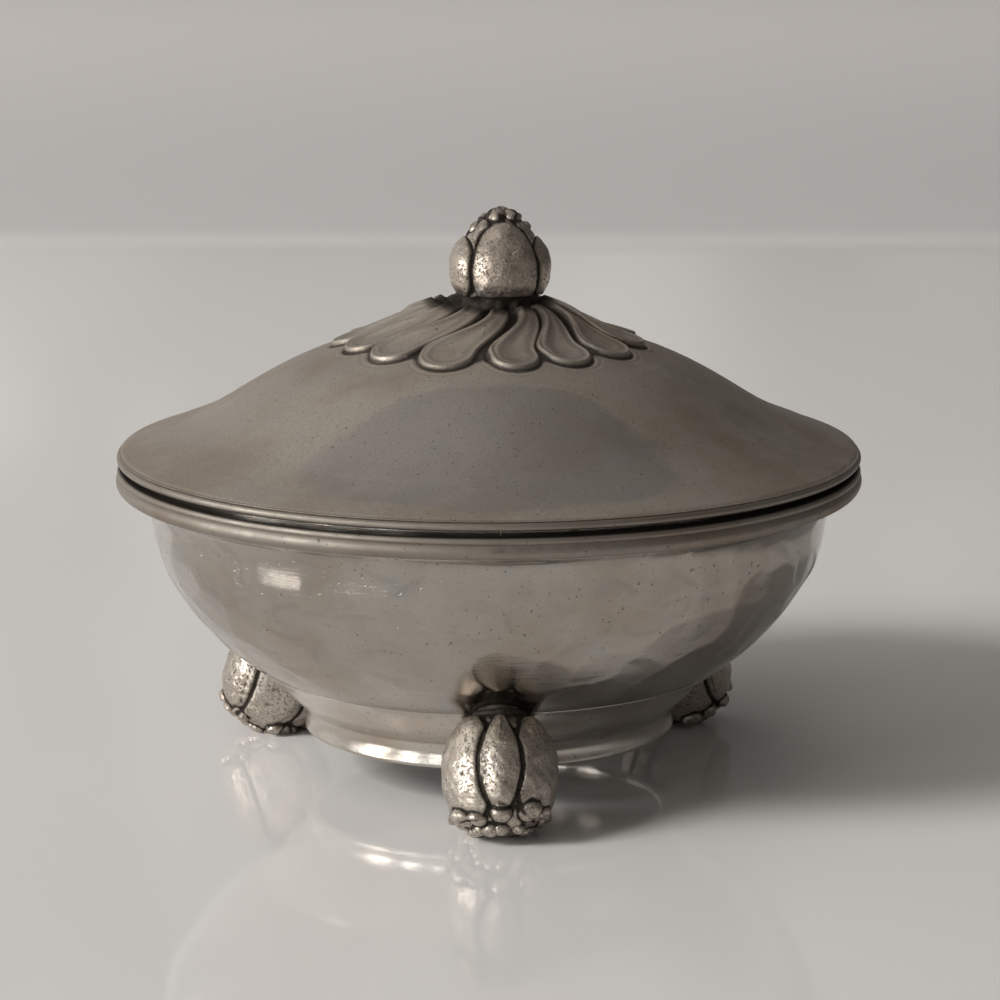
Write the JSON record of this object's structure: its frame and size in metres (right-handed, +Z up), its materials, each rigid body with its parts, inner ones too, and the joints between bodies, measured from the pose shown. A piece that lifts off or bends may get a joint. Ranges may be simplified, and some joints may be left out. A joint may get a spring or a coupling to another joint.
{
  "type": "covered sugar bowl",
  "caption": "Round hammered pewter sugar bowl on cast bud feet, with a lift-off domed lid, a ring of chased petals and a cast bud finial.",
  "frame": {"origin": "on the table, on the axis of the vessel, at the middle of the box's base", "axes": "+Z up along the axis of the vessel, -Y towards the front foot, +X to the right seen from the front"},
  "size_m": [0.1304, 0.1304, 0.0986],
  "materials": {
    "hammered_pewter": "hand hammered pewter with a warm grey patina, softly shiny",
    "satin_pewter": "satin pewter sheet with brown patina and a darker oval stain",
    "turned_pewter": "smooth turned pewter, fine lines round the axis",
    "cast_pewter": "cast pewter, pitted, with dark patina in the recesses",
    "solder": "dull grey solder"
  },
  "bodies": {
    "bowl": {"bowl_shell": "hammered_pewter", "rim_bead": "turned_pewter", "base_ring": "turned_pewter", "foot_front": "cast_pewter", "foot_rear_left": "cast_pewter", "foot_rear_right": "cast_pewter", "foot_solder_joints": "solder"},
    "lid": {"lid_shell": "satin_pewter", "lid_edge_wire": "turned_pewter", "lid_bezel": "turned_pewter", "finial_bud": "cast_pewter", "finial_solder_joint": "solder"}
  },
  "joints": [
    {"name": "lid_lift", "type": "slide", "parent": "bowl", "child": "lid", "axis": [0, 0, 1], "range_m": [0, 0.08]}
  ]
}
